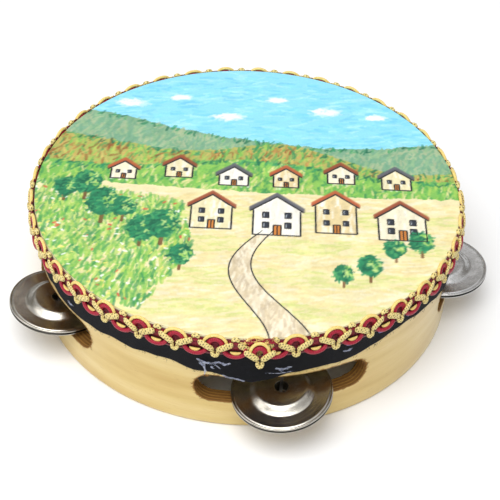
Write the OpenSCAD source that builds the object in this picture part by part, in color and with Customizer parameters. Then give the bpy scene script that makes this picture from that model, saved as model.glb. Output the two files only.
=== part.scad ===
// Round frame drum with jingles: a bentwood hoop with five long slots, a glued
// skin, a cloth band, a cord braid round the top edge and five pairs of jingles.
// Origin at the centre of the open bottom rim, +Z up to the skin, +Y is the
// top of the picture on the skin.

/* [Hoop] */
// Outer diameter of the wooden hoop
hoop_d = 200; // [180:5:240]
// Height of the wooden hoop
hoop_h = 55; // [52:1:62]
// Thickness of the hoop's wall
wall = 7; // [6:0.5:8]
// Rounding of the hoop's bottom edges
edge_r = 1.5; // [0.5:0.5:2.5]

/* [Slots] */
// Length of a slot, measured round the outside of the hoop
slot_l = 79; // [66:1:82]
// Height of a slot
slot_h = 15.5; // [14:0.5:17]
// Height of the slots' centre line above the bottom rim
slot_z = 23.3; // [20:0.1:25]

/* [Jingles] */
// Diameter of a jingle disc
jingle_d = 45; // [38:0.5:46]
// Sheet thickness of a jingle disc
jingle_t = 0.5; // [0.4:0.1:0.7]
// How far the flat middle of a disc stands above its rim
jingle_rise = 2.7; // [2:0.1:3]
// Diameter of the hole in a disc
jingle_hole_d = 6.4; // [4:0.1:7]
// Diameter of the wire pin that carries a pair of discs
pin_d = 1.5; // [1:0.1:2]
// Gap between the rims of a resting pair
rim_gap = 0.3; // [0.2:0.1:0.5]

/* [Skin] */
// Thickness of the drum skin
skin_t = 0.6; // [0.4:0.1:1]
// How far the skin is turned down over the side of the hoop
skin_collar_h = 8; // [5:1:12]

/* [Trim] */
// Height of the cloth band's lower edge above the bottom rim
band_z = 36; // [34:0.5:38]
// Height of the braid's lower edge above the bottom rim
braid_z = 45.5; // [44:0.5:48]
// How far the braid stands above the skin
braid_above = 2; // [1:0.5:3]
// Depth of one layer of braid cord
cord_d = 1.4; // [1:0.1:1.6]

/* [Hidden] */
$fn = 96;

// Derived sizes
hoop_r = hoop_d / 2;
hoop_inner_r = hoop_r - wall;
pin_ring_r = hoop_r - wall / 2;
slot_r = slot_h / 2;
slot_low = slot_z - slot_r;
slot_high = slot_z + slot_r;
slot_end_deg = (slot_l / 2 - slot_r) / hoop_r * 180 / PI;
cut_depth = wall + 20;

// Where each slot sits round the hoop, counted from +X towards +Y. The slots
// are marked out by hand: the two beside the front one are a little further off.
slot_az = [-78.7, -155, -1, 67.8, 136.4];
// Where each slot's pin stands, not always at the middle of its slot
pin_az = [-78.95, -153, -4.3, 67.8, 136.4];
// How each resting pair leans: [outer edge down, counter-clockwise end up]
lean = [[3.2, 5.6], [-5.6, 0.2], [-1.5, -1.3], [2, -3], [-3, 2]];
// How far each pair has slipped in the play of its holes: [outwards, counter-clockwise]
slip = [[1.9, -0.1], [0.9, 1.3], [-1, -1.3], [1, 0.8], [0.8, -0.6]];

// A jingle disc's profile, from the hole to the curled rim
jingle_r = jingle_d / 2;
hole_r = jingle_hole_d / 2;
lip_r = 0.55;
crown_r = jingle_r * 0.5;
step_r = jingle_r * 0.66;
flange_r = jingle_r - 2 * lip_r;
dish = 0.25;
sheet_lift = 0.1;
lip_dip = 0.2;
flank_in = 0.2;
crown_top = jingle_rise + jingle_t;

// Clearances and thin layers
pin_r = pin_d / 2;
pin_bore_gap = 0.02;
pin_low = 1;
pin_high = slot_high + 9;
pin_end_gap = 0.5;
rest_gap = 0.1;
glue_gap = 0.05;
layer_gap = 0.1;
band_t = 0.5;
skin_r = hoop_r + glue_gap + skin_t;
skin_top = hoop_h + skin_t;
band_r = skin_r + layer_gap;
band_top = hoop_h - 1;
braid_r = band_r + band_t + layer_gap;
base_cord_t = 1.9;
face_cord_r = braid_r + base_cord_t + layer_gap;
braid_top = skin_top + braid_above;
gold_in = 0.6;
face_low = braid_z + 0.5;

// The braid's two ends meet near the front, one lapped over the other
lap_az = -85.5;
lap_deg = 9;
lap_drop = 2.5;
// Dried glue on the band below the braid: [azimuth, angle it spans, height]
glue_beads = [[-98, 4, 40.5], [-79, 4, 38.5], [-139, 3, 39], [-63, 3, 41.5]];
glue_r = 0.6;

// A ring with a square section: inner radius, outer radius, bottom and top
module ring(inner, outer, low, high)
    rotate_extrude()
        translate([inner, low])
            square([outer - inner, high - low]);

// The hoop's cross-section, rounded at the two bottom edges
module hoop_section() {
    translate([hoop_inner_r, edge_r])
        square([wall, hoop_h - edge_r]);
    translate([hoop_inner_r + edge_r, 0])
        square([wall - 2 * edge_r, edge_r + 1]);
    for (r = [hoop_inner_r + edge_r, hoop_r - edge_r])
        translate([r, edge_r])
            circle(r = edge_r);
}

// One slot through the wall, its ends rounded, centred on +X
module slot_cut() {
    rotate([0, 0, -slot_end_deg])
        rotate_extrude(angle = 2 * slot_end_deg)
            translate([hoop_r - cut_depth / 2, slot_low])
                square([cut_depth, slot_h]);
    for (end = [-1, 1])
        rotate([0, 0, end * slot_end_deg])
            translate([hoop_r - cut_depth / 2, 0, slot_z])
                rotate([0, 90, 0])
                    cylinder(r = slot_r, h = cut_depth);
}

module hoop() {
    color("burlywood")
        difference() {
            rotate_extrude()
                hoop_section();
            for (az = slot_az)
                rotate([0, 0, az])
                    slot_cut();
            for (az = pin_az)
                rotate([0, 0, az])
                    translate([pin_ring_r, 0, -1])
                        cylinder(r = pin_r + pin_bore_gap, h = pin_high + 1);
        }
}

module drum_skin() {
    bevel = skin_t;
    color("aliceblue")
        rotate_extrude()
            polygon([
                [0, hoop_h], [skin_r - skin_t, hoop_h],
                [skin_r - skin_t, hoop_h - skin_collar_h], [skin_r, hoop_h - skin_collar_h],
                [skin_r, skin_top - bevel], [skin_r - bevel, skin_top], [0, skin_top]
            ]);
}

module trim_band() {
    color("black")
        ring(band_r, band_r + band_t, band_z, band_top);
}

module braid_crimson_cord() {
    color("crimson")
        ring(braid_r, braid_r + base_cord_t, braid_z, skin_top);
}

module braid_speckled_cord() {
    color("khaki")
        ring(face_cord_r, face_cord_r + cord_d, face_low, skin_top);
}

module braid_gold_cord() {
    color("palegoldenrod")
        ring(skin_r - gold_in, face_cord_r, skin_top + layer_gap, braid_top);
}

module braid_lap() {
    lap_r = face_cord_r + cord_d + layer_gap;
    color("khaki")
        rotate([0, 0, lap_az - lap_deg / 2])
            rotate_extrude(angle = lap_deg)
                translate([lap_r, braid_z - lap_drop])
                    square([cord_d, braid_top - braid_z]);
}

module glue_spots() {
    color("lavender")
        for (bead = glue_beads)
            rotate([0, 0, bead[0] - bead[1] / 2])
                rotate_extrude(angle = bead[1])
                    translate([band_r + band_t + glue_gap + glue_r, bead[2]])
                        circle(r = glue_r);
}

module jingle_pin(i) {
    color("dimgray")
        rotate([0, 0, pin_az[i]])
            translate([pin_ring_r, 0, pin_low])
                cylinder(r = pin_r, h = pin_high - pin_low - pin_end_gap);
}

// One stamped disc with its rim at z = 0 and its crown up
module disc() {
    rotate_extrude() {
        polygon([
            [hole_r, jingle_rise], [crown_r, jingle_rise], [step_r, lip_r - dish],
            [flange_r, lip_r - jingle_t / 2 + sheet_lift], [flange_r + lip_r, lip_r - lip_dip],
            [flange_r + lip_r, lip_r - lip_dip + jingle_t], [flange_r, lip_r + jingle_t / 2 + sheet_lift],
            [step_r + flank_in, lip_r - dish + jingle_t], [crown_r + flank_in, crown_top], [hole_r, crown_top]
        ]);
        translate([jingle_r - lip_r, lip_r])
            circle(r = lip_r);
    }
}

// Height at which a leaning pair rests with its lower crown on the slot's floor
function rest_z(i) = slot_low + crown_top + rim_gap / 2
    + (crown_r + flank_in) * sin(abs(lean[i][1])) + wall * sin(abs(lean[i][0])) + rest_gap;

// Places a disc on its pin; side is 1 for the upper disc and -1 for the lower
module place_disc(i, side)
    rotate([0, 0, pin_az[i]])
        translate([pin_ring_r + slip[i][0], slip[i][1], rest_z(i)])
            rotate([lean[i][1], lean[i][0], 0])
                translate([0, 0, side * rim_gap / 2])
                    rotate([side > 0 ? 0 : 180, 0, 0])
                        disc();

module lower_jingle(i) {
    color("silver")
        place_disc(i, -1);
}

module upper_jingle(i) {
    color("lightgray")
        place_disc(i, 1);
}

hoop();
drum_skin();
trim_band();
braid_crimson_cord();
braid_speckled_cord();
braid_gold_cord();
braid_lap();
glue_spots();
for (i = [0:4]) {
    jingle_pin(i);
    lower_jingle(i);
    upper_jingle(i);
}
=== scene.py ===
import math

import bmesh
import bpy
import numpy as np
from mathutils import Matrix, Vector


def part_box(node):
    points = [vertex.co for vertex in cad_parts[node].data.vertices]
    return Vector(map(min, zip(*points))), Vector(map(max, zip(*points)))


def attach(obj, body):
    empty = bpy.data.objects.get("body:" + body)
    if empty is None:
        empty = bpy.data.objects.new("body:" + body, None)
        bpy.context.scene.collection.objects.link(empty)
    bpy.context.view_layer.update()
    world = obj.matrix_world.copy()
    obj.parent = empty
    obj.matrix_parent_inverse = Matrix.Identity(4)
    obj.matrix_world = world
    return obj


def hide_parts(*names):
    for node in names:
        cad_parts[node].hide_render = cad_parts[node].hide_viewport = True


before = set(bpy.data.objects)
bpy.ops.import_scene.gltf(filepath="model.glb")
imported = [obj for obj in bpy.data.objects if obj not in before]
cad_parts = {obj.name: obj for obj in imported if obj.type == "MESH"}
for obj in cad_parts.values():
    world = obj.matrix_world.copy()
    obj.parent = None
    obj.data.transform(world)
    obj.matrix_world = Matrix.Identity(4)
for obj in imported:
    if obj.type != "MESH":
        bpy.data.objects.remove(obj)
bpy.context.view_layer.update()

# Real sizes in millimetres
MM = 0.001
HOOP_R, HOOP_IN, HOOP_H, EDGE_R = 100.0, 93.0, 55.0, 1.5
SLOT_AZ = (-78.7, -155.0, -1.0, 67.8, 136.4)
SLOT_R, SLOT_Z, SLOT_END = 7.75, 23.3, 18.19
PIN_RING, PIN_R = 96.5, 0.75
SKIN_TOP, SKIN_R, SKIN_T = 55.6, 100.65, 0.6
PICTURE_R = 100.2
PIN_AZ = (-78.95, -153.0, -4.3, 67.8, 136.4)
LEAN = ((3.2, 5.6), (-5.6, 0.2), (-1.5, -1.3), (2, -3), (-3, 2))
SLIP = ((1.9, -0.1), (0.9, 1.3), (-1, -1.3), (1, 0.8), (0.8, -0.6))
DISC_R, HOLE_R, CROWN_R, STEP_R, LIP_R = 22.5, 3.2, 11.0, 15.1, 0.55
SHEET, RISE, RIM_GAP = 0.5, 2.7, 0.3
BRAID_R = 102.7
BRAID_TOP, BRAID_LOW = (101.4, 56.3), (103.2, 46.8)
SWAY_AZ = -30.0
LAP_TOP, LAP_LOW, LAP_AZ = (103.2, 55.7), (106.4, 44.4), -85.5

rng = np.random.default_rng(11)


def put_in_scene(name, data):
    obj = bpy.data.objects.new(name, data)
    bpy.context.scene.collection.objects.link(obj)
    return obj


# ---- camera
def make_camera():
    data = bpy.data.cameras.new("camera")
    cam = put_in_scene("camera", data)
    bpy.context.scene.camera = cam
    data.sensor_width = 36.0
    data.lens = 96.5
    data.clip_start, data.clip_end = 0.01, 20.0
    data.dof.use_dof = False
    rise, roll = math.radians(41.19), math.radians(2.49)
    back = Vector((0, -math.cos(rise), math.sin(rise)))
    cam.rotation_mode = "QUATERNION"
    cam.location = Vector((0.0022, -0.009, 0.025)) + back * 0.65
    level = (-back).to_track_quat("-Z", "Y")
    cam.rotation_quaternion = level @ Matrix.Rotation(roll, 3, "Z").to_quaternion()


make_camera()


# ---- materials
def linear(c):
    return np.where(c <= 0.04045, c / 12.92, ((c + 0.055) / 1.055) ** 2.4)


def srgb(*rgb):
    """A colour given as 0 to 255, in Blender's linear values."""
    return (*linear(np.array(rgb, float) / 255).tolist(), 1.0)


def as_colour(value):
    """Three numbers are a colour given as 0 to 255; anything else is passed on as it is."""
    return srgb(*value) if isinstance(value, tuple) and len(value) == 3 else value


def set_ramp(node, stops):
    elements = node.color_ramp.elements
    while len(elements) < len(stops):
        elements.new(0.5)
    for element, (at, colour) in zip(elements, stops):
        element.position, element.color = at, as_colour(colour)


class Finish:
    """One material and its nodes."""

    def __init__(self, name):
        self.mat = bpy.data.materials.new(name)
        self.mat.use_nodes = True
        self.tree = self.mat.node_tree
        self.bsdf = self.tree.nodes["Principled BSDF"]
        self.place = self.node("ShaderNodeTexCoord").outputs["Object"]

    def node(self, kind, inputs=None, **settings):
        n = self.tree.nodes.new(kind)
        for key, value in settings.items():
            setattr(n, key, value)
        for key, value in (inputs or {}).items():
            self.put(n, key, value)
        return n

    def put(self, node, key, value):
        if isinstance(value, bpy.types.NodeSocket):
            self.tree.links.new(value, node.inputs[key])
        else:
            node.inputs[key].default_value = value

    def set(self, **inputs):
        for key, value in inputs.items():
            self.put(self.bsdf, key.replace("_", " "), value)
        return self

    def value(self, name):
        return self.node("ShaderNodeAttribute", attribute_name=name)

    def math(self, op, a, b=0.0):
        return self.node("ShaderNodeMath", {0: a, 1: b}, operation=op).outputs[0]

    def times(self, a, b):
        return self.math("MULTIPLY", a, b)

    def plus(self, a, b):
        return self.math("ADD", a, b)

    def hypot(self, a, b):
        return self.math("SQRT", self.plus(self.times(a, a), self.times(b, b)))

    def split(self, vector):
        return self.node("ShaderNodeSeparateXYZ", {0: vector}).outputs

    def scaled(self, vector, scale):
        return self.node("ShaderNodeVectorMath", {0: vector, 1: scale}, operation="MULTIPLY").outputs[0]

    def noise(self, scale, detail=3.0, vector=None, rough=0.5):
        return self.node("ShaderNodeTexNoise", {
            "Vector": vector or self.place, "Scale": scale, "Detail": detail, "Roughness": rough
        }).outputs["Fac"]

    def ramp(self, fac, *stops):
        n = self.node("ShaderNodeValToRGB", {"Fac": fac})
        set_ramp(n, stops)
        return n.outputs["Color"]

    def span(self, fac, low, high, to_low=0.0, to_high=1.0):
        return self.node("ShaderNodeMapRange", {
            "Value": fac, "From Min": low, "From Max": high, "To Min": to_low, "To Max": to_high
        }).outputs["Result"]

    def mix(self, fac, a, b, blend="MIX"):
        n = self.node("ShaderNodeMix", data_type="RGBA", blend_type=blend)
        for key, value in ((0, fac), (6, as_colour(a)), (7, as_colour(b))):
            self.put(n, key, value)
        return n.outputs[2]

    def bump(self, height, strength, distance=0.0002, under=None):
        n = self.node("ShaderNodeBump", {"Height": height, "Strength": strength, "Distance": distance})
        if under is not None:
            self.put(n, "Normal", under)
        return n.outputs["Normal"]


def wood_finish():
    f = Finish("varnished_wood")
    x, y, z = f.split(f.place)
    radius = f.hypot(x, y)
    drift = f.plus(z, f.times(radius, 1.6))
    grain = f.node("ShaderNodeCombineXYZ", {
        0: f.times(x, 14.0), 1: f.times(y, 14.0), 2: f.times(drift, 520.0)
    }).outputs[0]
    broad = f.noise(1.0, 3.0, f.scaled(grain, (1.0, 1.0, 0.22)))
    fine = f.noise(3.2, 4.0, grain, 0.6)
    pores = f.noise(9.0, 2.0, f.scaled(grain, (2.2, 2.2, 1.0)))
    base = f.ramp(broad, (0.25, (198, 164, 86)), (0.5, (214, 186, 112)), (0.8, (228, 206, 142)))
    base = f.mix(f.span(fine, 0.52, 0.75, 0.0, 0.5), base, (205, 164, 92))
    base = f.mix(f.span(pores, 0.66, 0.76, 0.0, 0.45), base, (150, 104, 48))
    burn = f.value("burn").outputs["Fac"]
    layer = f.span(f.math("SINE", f.times(radius, 3900.0)), -0.3, 0.6)
    mottle = f.noise(420.0, 3.0)
    ply = f.mix(layer, (112, 74, 20), (158, 112, 42))
    ply = f.mix(f.span(mottle, 0.45, 0.7, 0.0, 0.85), ply, (128, 88, 30))
    edge = f.span(f.plus(burn, f.span(mottle, 0.3, 0.7, -0.25, 0.25)), 0.35, 0.85)
    f.set(Base_Color=f.mix(edge, base, ply), Roughness=f.span(edge, 0.0, 1.0, 0.3, 0.75),
          Coat_Weight=f.span(edge, 0.0, 0.6, 0.5, 0.0), Coat_Roughness=0.08, Coat_IOR=1.45,
          Normal=f.bump(f.plus(fine, f.times(pores, 0.5)), 0.14, 0.0002))
    return f.mat


def fibre_finish():
    f = Finish("scorched_fibres")
    f.set(Base_Color=f.ramp(f.noise(900.0), (0.3, (96, 58, 20)), (0.7, (186, 132, 60))), Roughness=0.8)
    return f.mat


def skin_finish():
    f = Finish("skin_membrane")
    cloud = f.noise(60.0, 5.0)
    pits = f.noise(1500.0, 2.0)
    f.set(Base_Color=f.ramp(cloud, (0.3, (214, 204, 160)), (0.7, (232, 224, 190))), Roughness=0.5,
          Subsurface_Weight=0.1, Subsurface_Radius=(0.002, 0.0015, 0.001), Normal=f.bump(pits, 0.15, 0.0001))
    return f.mat


def paint_finish():
    f = Finish("painted_picture")
    coat = f.value("paint").outputs["Color"]
    wash = f.noise(900.0, 3.0)
    bristle = f.noise(420.0, 4.0, f.scaled(f.place, (1.0, 3.5, 1.0)), 0.6)
    shade = f.span(wash, 0.3, 0.7, 0.96, 1.03)
    grey = f.node("ShaderNodeCombineColor", {0: shade, 1: shade, 2: shade}).outputs[0]
    f.set(Base_Color=f.mix(1.0, coat, grey, "MULTIPLY"),
          Roughness=f.span(bristle, 0.3, 0.7, 0.36, 0.55), Specular_IOR_Level=0.4,
          Normal=f.bump(bristle, 0.3, 0.00015))
    return f.mat


def ink_finish():
    f = Finish("black_paint")
    f.set(Base_Color=f.ramp(f.noise(500.0, 4.0), (0.35, (14, 16, 20)), (0.75, (44, 46, 52))),
          Roughness=0.4, Normal=f.bump(f.noise(1800.0), 0.25, 0.0001))
    return f.mat


def cloth_finish():
    f = Finish("black_cloth")
    along, up, _ = f.split(f.value("weave").outputs["Vector"])
    thread = f.times(f.math("SINE", f.times(along, 9.0)), f.math("SINE", f.times(up, 9.0)))
    fuzz = f.noise(700.0, 4.0)
    tone = f.ramp(fuzz, (0.3, (5, 6, 9)), (0.6, (10, 11, 16)), (0.85, (22, 24, 31)))
    f.set(Base_Color=f.mix(f.span(thread, -1.0, 1.0, 0.0, 0.3), tone, (17, 19, 26)), Roughness=0.85,
          Sheen_Weight=0.06, Sheen_Roughness=0.4, Sheen_Tint=srgb(120, 126, 145), Specular_IOR_Level=0.25,
          Normal=f.bump(thread, 0.5, 0.0002, f.bump(fuzz, 0.4, 0.0003)))
    return f.mat


def cord_finish(name, dark, mid, light, pitch, twist, rough, dots=False):
    f = Finish(name)
    run, turn, shade = f.split(f.value("cord").outputs["Vector"])
    lay = f.plus(f.times(run, 2 * math.pi / pitch), f.times(turn, 2 * math.pi * twist))
    rib = f.span(f.math("SINE", lay), -1.0, 1.0)
    fuzz = f.noise(1400.0, 3.0)
    tone = f.mix(f.span(fuzz, 0.3, 0.7), mid, light)
    # Painted shade: the grooves between the cord's twisted plies are mixed towards the dark tone.
    tone = f.mix(f.span(rib, 0.0, 0.45, 0.15 if dots else 0.5, 0.0), tone, dark)
    if dots:
        cell_u = f.math("SUBTRACT", f.math("FRACT", f.times(run, 0.95)), 0.5)
        slipped = f.plus(f.times(turn, 5.0), f.times(run, 0.475))
        cell_v = f.math("SUBTRACT", f.math("FRACT", slipped), 0.5)
        off = f.hypot(cell_u, cell_v)
        off = f.plus(off, f.span(fuzz, 0.3, 0.7, -0.1, 0.1))
        tone = f.mix(f.span(off, 0.18, 0.3, 0.85, 0.0), tone, (62, 56, 22))
    # Painted shade: the cord attribute's third value darkens cords that lie back in the braid's gaps and
    # hollows.
    tone = f.mix(shade, tone, dark)
    f.set(Base_Color=tone, Roughness=rough, Sheen_Weight=0.08, Sheen_Roughness=0.35, Specular_IOR_Level=0.4,
          Normal=f.bump(rib, 0.15 if dots else 0.45, 0.00018, f.bump(fuzz, 0.3, 0.0001)))
    return f.mat


def glue_finish():
    f = Finish("dried_glue")
    cloud = f.noise(500.0, 3.0)
    f.set(Base_Color=f.ramp(cloud, (0.3, (160, 170, 200)), (0.7, (206, 212, 230))), Roughness=0.2,
          Alpha=f.span(cloud, 0.35, 0.7, 0.12, 0.5), Subsurface_Weight=0.3,
          Subsurface_Radius=(0.001, 0.001, 0.0012),
          Normal=f.bump(f.noise(900.0), 0.5, 0.0002))
    return f.mat


def steel_finish(name, tint, rough):
    f = Finish(name)
    local = f.value("disc").outputs["Vector"]
    x, y, z = f.split(local)
    radius = f.hypot(x, y)
    rings = f.node("ShaderNodeTexNoise", {"W": radius, "Scale": 7.0, "Detail": 4.0, "Roughness": 0.7},
                   noise_dimensions="1D").outputs["Fac"]
    smear = f.noise(0.22, 4.0, local, 0.6)
    scuff = f.noise(1.5, 3.0, f.scaled(local, (1.0, 9.0, 1.0)), 0.6)
    stain = f.noise(0.5, 5.0, local, 0.65)
    dull = tuple(0.72 * c for c in tint[:3]) + (1.0,)
    warm = (0.5 * tint[0], 0.42 * tint[1], 0.3 * tint[2], 1.0)
    tone = f.mix(f.span(smear, 0.35, 0.65), tint, dull)
    tone = f.mix(f.span(stain, 0.62, 0.75, 0.0, 0.45), tone, warm)
    # Painted shade: the discs' lips are darkened, most where they face the other disc of the pair across the
    # narrow gap.
    rim = f.span(radius, DISC_R - 1.2, DISC_R - 0.8)
    grime_and_shade = f.times(rim, f.span(z, 0.3, 0.6, 0.95, 0.15))
    tone = f.mix(grime_and_shade, tone, (0.03, 0.028, 0.025, 1.0))
    worn = f.plus(f.span(smear, 0.3, 0.7, rough, rough + 0.12), f.span(scuff, 0.6, 0.75, 0.0, 0.12))
    f.set(Base_Color=tone, Metallic=1.0, Roughness=worn, Anisotropic=0.25,
          Normal=f.bump(rings, 0.3, 0.00012, f.bump(scuff, 0.05, 0.0001)))
    return f.mat


def wire_finish():
    f = Finish("pin_wire")
    grime_and_shade = f.noise(700.0, 3.0, f.scaled(f.place, (1.0, 1.0, 0.15)))
    f.set(Base_Color=f.ramp(grime_and_shade, (0.3, (70, 66, 62)), (0.7, (135, 130, 124))), Metallic=1.0,
          Roughness=f.span(grime_and_shade, 0.3, 0.7, 0.3, 0.55), Normal=f.bump(grime_and_shade, 0.2, 0.0001))
    return f.mat


WOOD, FIBRE, SKIN, PAINT, INK = wood_finish(), fibre_finish(), skin_finish(), paint_finish(), ink_finish()
CLOTH, GLUE, WIRE = cloth_finish(), glue_finish(), wire_finish()
CRIMSON = cord_finish("crimson_cord", (70, 3, 18), (152, 10, 40), (186, 26, 56), 0.8, 2.0, 0.4)
SPECKLED = cord_finish("speckled_cord", (112, 84, 36), (222, 198, 118), (238, 220, 150), 0.95, 0.0, 0.5, True)
GOLD = cord_finish("gold_cord", (190, 140, 56), (238, 204, 108), (252, 232, 150), 0.55, 1.0, 0.34)
LILAC = cord_finish("lilac_cord", (60, 56, 100), (112, 108, 164), (140, 136, 190), 0.6, 0.0, 0.45)
STEEL = steel_finish("jingle_steel", (0.82, 0.81, 0.79, 1.0), 0.17)
# The front and left pairs take a darker, browner copy of the steel: painted reflection of the brown wooden
# hoop.
WOOD_TINTED_STEEL = steel_finish("wood_tinted_steel", (0.66, 0.62, 0.54, 1.0), 0.15)


# ---- mesh help
def columns(*axes):
    """Coordinates, each a number or an array, joined into points."""
    return np.stack(np.broadcast_arrays(*axes), -1).astype(float)


def polar(radius, a, z):
    return columns(radius * np.cos(a), radius * np.sin(a), z)


def unit(vectors):
    return vectors / (np.linalg.norm(vectors, axis=1)[:, None] + 1e-9)


def run_of(path):
    """How far along a path each of its points lies."""
    return np.concatenate([[0], np.cumsum(np.linalg.norm(np.diff(path, axis=0), axis=1))])


class Build:
    """Gathers vertices in millimetres, faces and per-vertex values for one mesh."""

    def __init__(self):
        self.points, self.faces, self.values, self.count = [], [], [], 0

    def add(self, points, faces, value=None):
        points = np.asarray(points, float).reshape(-1, 3)
        self.points.append(points)
        self.faces.extend([[i + self.count for i in f] for f in faces])
        value = np.zeros_like(points) if value is None else np.asarray(value, float)
        self.values.append(value.reshape(-1, 3))
        self.count += len(points)

    def sheet(self, rows, value=None, around=True, ring=False, caps=False):
        """Rows of points joined into quads; around joins a row's ends, ring the last row to the first."""
        rows = np.asarray(rows, float)
        n, m = rows.shape[:2]
        r, c = np.meshgrid(np.arange(n if ring else n - 1), np.arange(m if around else m - 1), indexing="ij")
        r2, c2 = (r + 1) % n, (c + 1) % m
        quads = np.stack([r * m + c, r * m + c2, r2 * m + c2, r2 * m + c], -1).reshape(-1, 4).tolist()
        if caps:
            quads += [list(range(m))[::-1], [(n - 1) * m + i for i in range(m)]]
        self.add(rows, quads, value)

    def object(self, name, material, body="drum", attribute=None, weld=False):
        points = np.concatenate(self.points) * MM
        mesh = bpy.data.meshes.new(name)
        mesh.from_pydata(points.tolist(), [], self.faces)
        if attribute:
            values = np.concatenate(self.values).astype(np.float32)
            layer = mesh.attributes.new(attribute, "FLOAT_VECTOR", "POINT")
            layer.data.foreach_set("vector", values.ravel())
        tidy_mesh(mesh, weld)
        mesh.polygons.foreach_set("use_smooth", [True] * len(mesh.polygons))
        mesh.materials.append(material)
        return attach(put_in_scene(name, mesh), body)


def tidy_mesh(mesh, weld):
    bm = bmesh.new()
    bm.from_mesh(mesh)
    if weld:
        bmesh.ops.remove_doubles(bm, verts=bm.verts, dist=2e-6)
    bmesh.ops.recalc_face_normals(bm, faces=bm.faces)
    bm.to_mesh(mesh)
    bm.free()


def around(radius, z, steps):
    return polar(radius, np.radians(np.linspace(0, 360, steps, endpoint=False)), z)


def lathe(profile, steps):
    return np.stack([around(r, z, steps) for r, z in profile])


def arc(cx, cz, radius, start, stop, steps):
    a = np.radians(np.linspace(start, stop, steps))
    return [(cx + radius * math.cos(t), cz + radius * math.sin(t)) for t in a]


def resample(path, step):
    path = np.asarray(path, float)
    run = run_of(path)
    n = max(int(run[-1] / step) + 1, 4)
    at = np.linspace(0, run[-1], n)
    return np.stack([np.interp(at, run, path[:, k]) for k in range(path.shape[1])], -1), at


def rim_path(az, path):
    """Points given as (along the rim, height, radius) turned into places round the rim."""
    p = np.asarray(path, float)
    return polar(p[:, 2], np.radians(az) + p[:, 0] / BRAID_R, p[:, 1])


def sweep(build, path, wide, deep, sides=8, squareness=1.0, shade=0.0, ends=(0.4, 0.8), taper=None,
          outward=None):
    """Sweeps an oval section along a path; wide lies along the rim's surface and deep stands out from it."""
    path = np.asarray(path, float)
    n = len(path)
    tangent = unit(np.gradient(path, axis=0))
    side = unit(np.cross(tangent, unit(path * (1, 1, 0) if outward is None else outward)))
    out = np.cross(side, tangent)
    a = np.linspace(0, 2 * math.pi, sides, endpoint=False) + math.pi
    sn, cs = (np.sign(v) * np.abs(v) ** squareness for v in (np.sin(a), np.cos(a)))
    size = np.ones(n) if taper is None else np.asarray(taper, float)
    for k, s in enumerate(ends):
        size[k] *= s
        size[n - 1 - k] *= s
    section = wide * side[:, None] * sn[:, None] + deep * out[:, None] * cs[:, None]
    rows = path[:, None] + size[:, None, None] * section
    run = run_of(path)
    build.sheet(rows, columns(run[:, None], np.arange(sides) / sides, shade), caps=True)


# ---- hoop
def slot_outline(az, radius, grow, n_round, n_flat):
    """A slot's edge on the cylinder of one radius, grown by some mm, as (azimuth, height) going round."""
    r = SLOT_R + grow
    turn = np.linspace(-90, 90, n_round, endpoint=False)

    def end(sign, phi):
        p = np.radians(phi)
        reach = np.degrees(np.arcsin(r * np.cos(p) / radius))
        return columns(az + sign * SLOT_END + reach, SLOT_Z + r * np.sin(p))

    flat = np.linspace(SLOT_END, -SLOT_END, n_flat, endpoint=False)
    top, low = columns(az + flat, SLOT_Z + r), columns(az - flat, SLOT_Z - r)
    return np.concatenate([end(1, turn), top, end(-1, turn + 180), low])


def slot_frame(az, left, right, low, high, n_round, n_flat):
    """The sector's outer border, with one point for each point of slot_outline."""
    q = n_round // 4
    r0, l0 = az + SLOT_END, az - SLOT_END
    sides = ((r0, right, low, low, q), (right, right, low, high, 2 * q), (right, r0, high, high, q),
             (r0, l0, high, high, n_flat), (l0, left, high, high, q), (left, left, high, low, 2 * q),
             (left, l0, low, low, q), (l0, r0, low, low, n_flat))

    def run(a, b, n):
        return np.linspace(a, b, n, endpoint=False)

    return np.concatenate([columns(run(a, b, n), run(c, d, n)) for a, b, c, d, n in sides])


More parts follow.
